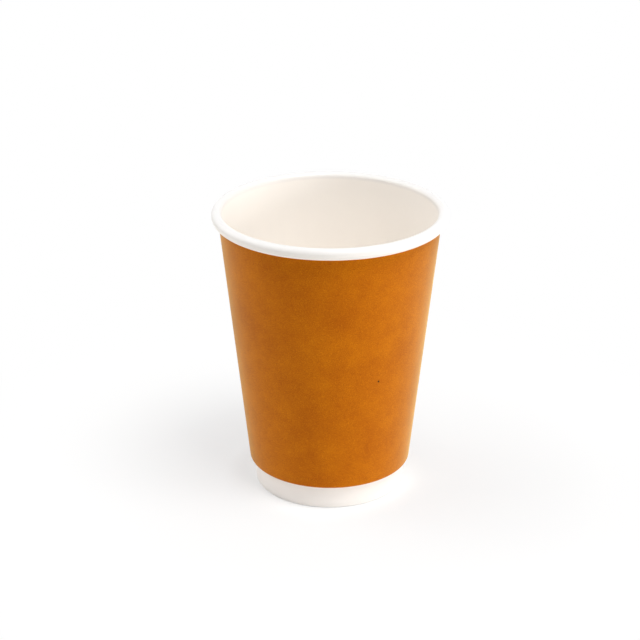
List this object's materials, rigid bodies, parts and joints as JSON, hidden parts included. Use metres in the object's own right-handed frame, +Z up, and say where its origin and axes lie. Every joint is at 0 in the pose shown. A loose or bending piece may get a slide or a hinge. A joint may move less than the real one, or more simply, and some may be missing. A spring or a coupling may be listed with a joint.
{
  "type": "double-wall paper coffee cup",
  "caption": "Open double-wall paper cup with a rolled rim, a set-back folded foot, a recessed bottom disc and a kraft outer sleeve.",
  "frame": {"origin": "centre of the foot, on the table that the cup stands on", "axes": "+Z up along the cup's axis; the outer sleeve's seam is at +Y, the back; the inner wall's seam is near +X"},
  "size_m": [0.09, 0.09, 0.113],
  "materials": {
    "white_board": "satin",
    "base_board": "satin",
    "kraft_board": "matte"
  },
  "bodies": {
    "root": {"cup_wall": "white_board", "base_disc": "base_board", "outer_sleeve": "kraft_board"}
  },
  "joints": []
}
